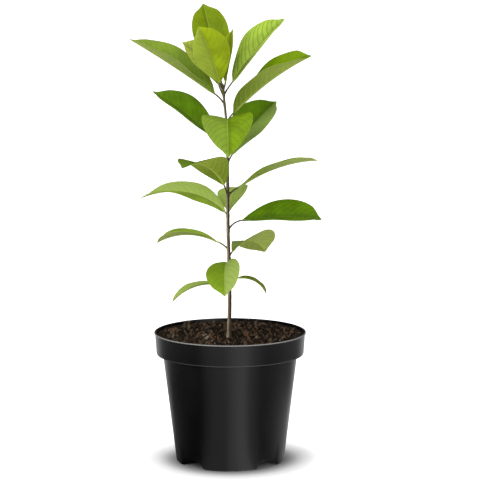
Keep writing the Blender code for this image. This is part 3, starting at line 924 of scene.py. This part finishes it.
def make_pot():
    """The pot from its profile, with a bay and a drain hole between each two feet."""
    foot, shoulder = (BODY_FOOT_RADIUS, 0.0), (BODY_TOP_RADIUS, COLLAR_FOOT)
    outside = [(0.0, 0.0, 0), *((radius, 0.0, 0) for radius in FLOOR_RINGS), (*foot, FOOT_ROUND),
               *stretch_of(foot, shoulder, WALL_STEPS), (*shoulder, 0.0012),
               (COLLAR_FOOT_RADIUS, COLLAR_FOOT, 0.0016),
               (COLLAR_TOP_RADIUS, POT_HEIGHT - LIP_HEIGHT, 0.0004),
               (RIM_RADIUS, POT_HEIGHT - LIP_HEIGHT * 0.8, 0.0005),
               (RIM_RADIUS, POT_HEIGHT, 0.0009)]
    inner_foot = (BODY_FOOT_RADIUS - WALL, WALL)
    inner_shoulder = (BODY_TOP_RADIUS - WALL, COLLAR_FOOT + WALL)
    inside = [(COLLAR_TOP_RADIUS - WALL, POT_HEIGHT, 0.0007),
              (COLLAR_FOOT_RADIUS - WALL, COLLAR_FOOT + WALL, 0.0008),
              (*inner_shoulder, 0.0008), *stretch_of(inner_shoulder, inner_foot, WALL_STEPS),
              (*inner_foot, FOOT_ROUND), *((radius, WALL, 0) for radius in reversed(FLOOR_RINGS)),
              (0.0, WALL, 0)]
    bm = turned(rounded(outside + inside), POT_SIDES)
    for vert in bm.verts:
        if vert.co.z < BAY_REACH:
            radius = hypot(vert.co.x, vert.co.y)
            lift = bay_lift(radius, degrees(atan2(vert.co.y, vert.co.x)))
            vert.co.z += lift * (1 - smooth(vert.co.z, 0.0, BAY_REACH))
    pot = object_from("undrained_pot", bm)
    drills = bmesh.new()
    for turn in BAY_TURNS:
        place = Matrix.Rotation(radians(turn), 4, "Z") @ Matrix.Translation(
            (DRAIN_DISTANCE, 0, BAY_HEIGHT + WALL / 2))
        bmesh.ops.create_cone(drills, cap_ends=True, segments=DRAIN_SIDES, radius1=DRAIN_RADIUS,
                              radius2=DRAIN_RADIUS, depth=DRILL_DEPTH, matrix=place)
    drill = object_from("drill", drills)
    cut = pot.modifiers.new("drains", "BOOLEAN")
    cut.operation = "DIFFERENCE"
    cut.object = drill
    cut.solver = "EXACT"
    drained = baked(pot)
    bpy.data.objects.remove(drill, do_unlink=True)
    keep(object_from("nursery_pot", drained, pot_skin()), "pot_plastic", "pot")


def compost_height(x, y):
    """The dished top of the filling with its lumps."""
    radius = hypot(x, y)
    edge = COLLAR_TOP_RADIUS - COMPOST_INSET
    share = max(radius - COMPOST_FLAT_RADIUS, 0.0) / (edge - COMPOST_FLAT_RADIUS)
    dish = COMPOST_MIDDLE + share ** 2 * (COMPOST_EDGE - COMPOST_MIDDLE)
    place = Vector((x * COMPOST_GRAIN, y * COMPOST_GRAIN, 3.0))
    lumps = noise.fractal(place, 0.8, 2.2, 4)     # decay, then how much finer and how often
    return dish + COMPOST_LUMP * lumps * (1 - 0.5 * smooth(share, 0.9, 1.0)) - COMPOST_SINK


def make_compost():
    """The filling: a closed body under the crumbs, with a lumpy top."""
    inner = COLLAR_TOP_RADIUS - COMPOST_INSET
    bottom = BAY_HEIGHT + 2 * COMPOST_INSET
    slope = [(inner * (1 - step / COMPOST_RINGS), COMPOST_EDGE, 0)
             for step in range(COMPOST_RINGS)]
    profile = [(0.0, bottom, 0),
               (BODY_FOOT_RADIUS - COMPOST_INSET, bottom, 0),
               (BODY_TOP_RADIUS - COMPOST_INSET, COLLAR_FOOT + COMPOST_INSET, 0),
               (COLLAR_FOOT_RADIUS - COMPOST_INSET, COLLAR_FOOT + COMPOST_INSET, 0),
               *slope, (0.0, COMPOST_EDGE, 0)]
    bm = turned(rounded(profile), COMPOST_SIDES)
    for vert in bm.verts:
        if vert.co.z > COMPOST_EDGE - MERGE:
            vert.co.z = compost_height(vert.co.x, vert.co.y)
    skin = compost_skin("compost_bed", (0.006, 0.0036, 0.0022), (0.024, 0.0145, 0.0085))
    keep(object_from("compost_bed", bm, skin), "compost", "compost")


def add_crumb(bm, chance):
    """One lump or splinter, turned at random and half sunk in the filling."""
    size = chance.uniform(*CRUMB_SIZE) * chance.uniform(0.5, 1.0)
    long = chance.choice(CRUMB_LENGTHS)
    reach = RIM_RADIUS - CRUMB_INSET - size * long
    radius, turn = reach * chance.random() ** 0.5, chance.uniform(0, 2 * pi)
    x, y = radius * cos(turn), radius * sin(turn)
    if hypot(x - STEM_PATH[0][0], y - STEM_PATH[0][1]) < STEM_RADIUS_LOW + ROOT_FLARE + size:
        return
    lift = chance.uniform(*CRUMB_LIFT) - CRUMB_SINK * smooth(radius / RIM_RADIUS, *CRUMB_SINK_BAND)
    place = Matrix.Translation((x, y, compost_height(x, y) + size * lift))
    turned_by = Euler([chance.uniform(0, 2 * pi) for _ in range(3)]).to_matrix().to_4x4()
    shape = Matrix.Diagonal((size * long, size, size * chance.uniform(0.45, 0.9), 1))
    made = bmesh.ops.create_icosphere(bm, subdivisions=1, radius=1.0)
    kind = chance.choices(range(len(CRUMB_KINDS)), [row[3] for row in CRUMB_KINDS])[0]
    for vert in made["verts"]:
        vert.co = place @ turned_by @ shape @ (vert.co * chance.uniform(0.65, 1.15))
        for face in vert.link_faces:
            face.material_index = kind


def make_crumbs():
    """Loose lumps and splinters of bark and fibre on top of the filling."""
    chance = Random(11)
    bm = bmesh.new()
    for _ in range(CRUMBS // CRUMB_GROUP):
        group = bmesh.new()
        for _ in range(CRUMB_GROUP):
            add_crumb(group, chance)
        joined(bm, group)
    skins = [compost_skin(name, dark, light, CRUMB_GRAIN) for name, dark, light, _ in CRUMB_KINDS]
    keep(object_from("compost_crumbs", bm, *skins), "compost")


def mirrored_floor(x, y, away):
    """Painted reflection for the pot's gloss: how bright the floor glows in reflections, by
    direction and distance from its axis.
    """

    def towards(turn):
        """1 in a direction that is turned from the front to +X, and -1 opposite it."""
        return (x * sin(radians(turn)) - y * cos(radians(turn))) / away

    bright = MIRROR_DARK
    for turn, start, full, brightness in MIRROR_BANDS:
        bright = bright + towards(turn).rise(start, full) * brightness
    left = 1 - (x / away).rise(-0.6, 0.3)
    back = towards(180).rise(*MIRROR_BACK) * (1 - away.rise(*MIRROR_BODY))
    return bright + back * (1 - left * 0.75) * 0.45 + away.rise(*MIRROR_COLLAR) * 0.24


def make_floor():
    """White for the camera, but for a painted contact shadow round the pot's foot; dimmer where it
    lights the plant, and glowing in painted reflection bands where the pot mirrors it.
    """
    bm = bmesh.new()
    bmesh.ops.create_circle(bm, cap_ends=True, segments=FLOOR_SIDES, radius=FLOOR_RADIUS)
    finish = Finish("pale_floor")
    seen = finish.add("LightPath", out="Is Camera Ray")
    mirrored = finish.add("LightPath", out="Is Glossy Ray")
    x, y = finish.axes(finish.place())[:2]
    away = (x * x + y * y) ** 0.5
    black, white = (0.0, 0.0, 0.0), (1.0, 1.0, 1.0)
    plain = (0.90, 0.90, 0.90)
    # painted contact shadow: for the camera the floor's colour is darker round the pot's foot
    shade = finish.mix(away.rise(*FLOOR_SHADE), (0.30, 0.30, 0.30), plain)
    # painted light: for the camera the floor glows from a little way out from the pot, over the
    # softboxes' shadows
    glow = finish.mix(away.rise(*FLOOR_GLOW), black, (0.80, 0.80, 0.80))
    glow = finish.mix(away.rise(*FLOOR_WHITE), glow, white)
    # painted reflection: the floor glows in bands only for glossy rays, for the pot's highlights
    mirror = finish.mix(mirrored_floor(x, y, away) * mirrored, black, white)
    object_from("floor", bm, finish.dress(
        Base_Color=finish.mix(seen, finish.mix(mirrored, plain, black), shade),
        Emission_Color=finish.mix(seen, mirror, glow),
        Emission_Strength=1.0, Roughness=0.9, Specular_IOR_Level=0.0))


def make_camera():
    camera = bpy.data.objects.new("camera", bpy.data.cameras.new("camera"))
    camera.data.lens = CAMERA_LENS
    camera.data.sensor_width = CAMERA_SENSOR
    tilt = radians(CAMERA_TILT)
    camera.location = Vector(CAMERA_AIM) + CAMERA_DISTANCE * Vector((0, -cos(tilt), sin(tilt)))
    camera.rotation_euler = (pi / 2 - tilt, 0.0, 0.0)
    bpy.context.scene.collection.objects.link(camera)
    bpy.context.scene.camera = camera


def softbox(name, place, side, power):
    """A soft square panel of light, turned to face the plant."""
    lamp = bpy.data.lights.new(name, "AREA")
    lamp.shape = "SQUARE"
    lamp.size = side
    lamp.energy = power
    holder = bpy.data.objects.new(name, lamp)
    holder.location = place
    holder.rotation_euler = (Vector(LIGHT_AIM) - Vector(place)).to_track_quat("-Z", "Y").to_euler()
    bpy.context.scene.collection.objects.link(holder)


def make_light():
    """A dim white room, brighter for the camera and dark in reflections, with softboxes."""
    world = bpy.data.worlds.new("studio")
    world.use_nodes = True
    nodes, links = world.node_tree.nodes, world.node_tree.links
    path = nodes.new("ShaderNodeLightPath")
    room = nodes["Background"]
    room.inputs["Strength"].default_value = ROOM_LIGHT
    for ray, strength in ROOM_SEEN:
        other = nodes.new("ShaderNodeBackground")
        other.inputs["Strength"].default_value = strength
        choose = nodes.new("ShaderNodeMixShader")
        links.new(path.outputs[ray], choose.inputs[0])
        links.new(room.outputs[0], choose.inputs[1])
        links.new(other.outputs[0], choose.inputs[2])
        room = choose
    for background in nodes:
        if background.type == "BACKGROUND":
            background.inputs["Color"].default_value = (1.0, 1.0, 1.0, 1.0)
    links.new(room.outputs[0], nodes["World Output"].inputs["Surface"])
    bpy.context.scene.world = world
    for name, place, side, power in SOFTBOXES:
        softbox(name, place, side, power)
    bpy.context.scene.view_settings.view_transform = "Standard"


def main():
    make_camera()
    make_light()
    make_floor()
    make_pot()
    make_compost()
    make_crumbs()
    make_trunk()
    make_leaves()


main()
